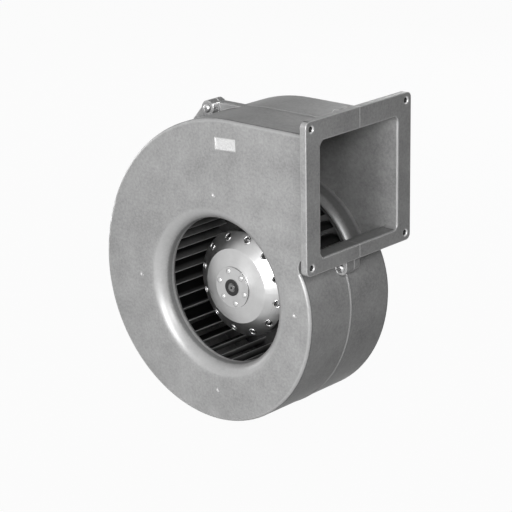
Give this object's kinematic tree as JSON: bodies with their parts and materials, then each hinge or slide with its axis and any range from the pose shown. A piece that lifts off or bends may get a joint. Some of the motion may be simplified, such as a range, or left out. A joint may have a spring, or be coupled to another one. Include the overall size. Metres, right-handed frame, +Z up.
{
  "type": "motorized impeller",
  "caption": "Single inlet centrifugal blower: a forward-curved drum impeller on an external rotor motor, in a die-cast scroll housing with a flanged outlet.",
  "frame": {"origin": "on the shaft axis, in the plane of the inlet face, at the centre of the circle of inlet screws", "axes": "+X out of the outlet, +Y along the shaft from the inlet face to the rear, +Z up"},
  "size_m": [0.2489, 0.134, 0.2815],
  "materials": {
    "cast_housing": "raw die casting, matte and slightly mottled",
    "zinc_screws": "zinc plated",
    "bare_plate": "plain satin plate with nothing printed on it",
    "cast_motor_flange": "raw die casting, matte",
    "black_rubber": "matte black",
    "cap_steel": "pressed steel, satin",
    "lamination_steel": "stacked electrical sheet, dull",
    "enamelled_wire": "varnished copper wire",
    "insulator_plastic": "natural, matte",
    "black_plastic": "matte black",
    "bearing_steel": "ground and polished",
    "shield_steel": "pressed sheet, satin",
    "spring_steel": "dark spring steel",
    "galvanised_sheet": "galvanised sheet, dull",
    "rivet_metal": "satin",
    "rotor_steel": "deep drawn and zinc plated, bright satin",
    "cage_casting": "cast, satin",
    "hub_steel": "turned, satin",
    "collar_steel": "darkened",
    "shaft_steel": "ground",
    "ball_steel": "polished",
    "ball_cage_plastic": "natural, matte"
  },
  "bodies": {
    "housing": {"front_housing": "cast_housing", "rear_housing": "cast_housing", "housing_screws": "zinc_screws", "blank_plate": "bare_plate", "motor_flange": "cast_motor_flange", "motor_screws": "zinc_screws", "cable_grommet": "black_rubber", "rear_bearing_cap": "cap_steel", "stator_core": "lamination_steel", "stator_windings": "enamelled_wire", "stator_insulators": "insulator_plastic", "thermal_cutout": "black_plastic", "bearing_outer_rings": "bearing_steel", "bearing_shields": "shield_steel", "preload_washer": "spring_steel"},
    "impeller": {"impeller_blades": "galvanised_sheet", "impeller_front_ring": "galvanised_sheet", "impeller_backplate": "galvanised_sheet", "backplate_rivets": "rivet_metal", "rotor_cup": "rotor_steel", "rotor_laminations": "lamination_steel", "rotor_cage": "cage_casting", "hub_plate": "hub_steel", "hub_rivets": "rivet_metal", "shaft_collar": "collar_steel", "rotor_shaft": "shaft_steel", "shaft_retaining_ring": "spring_steel", "bearing_inner_rings": "bearing_steel"},
    "front_bearing": {"front_bearing_balls": "ball_steel", "front_bearing_cage": "ball_cage_plastic"},
    "rear_bearing": {"rear_bearing_balls": "ball_steel", "rear_bearing_cage": "ball_cage_plastic"}
  },
  "joints": [
    {"name": "rotor_spin", "type": "hinge", "parent": "housing", "child": "impeller", "pos_m": [0, 0, 0], "axis": [0, 1, 0], "continuous": true},
    {"name": "front_cage_spin", "type": "hinge", "parent": "housing", "child": "front_bearing", "pos_m": [0, 0, 0], "axis": [0, 1, 0], "continuous": true},
    {"name": "rear_cage_spin", "type": "hinge", "parent": "housing", "child": "rear_bearing", "pos_m": [0, 0, 0], "axis": [0, 1, 0], "continuous": true}
  ],
  "couplings": [
    {"joint": "front_cage_spin", "follows": "rotor_spin", "ratio": 0.3693},
    {"joint": "rear_cage_spin", "follows": "rotor_spin", "ratio": 0.3693}
  ]
}
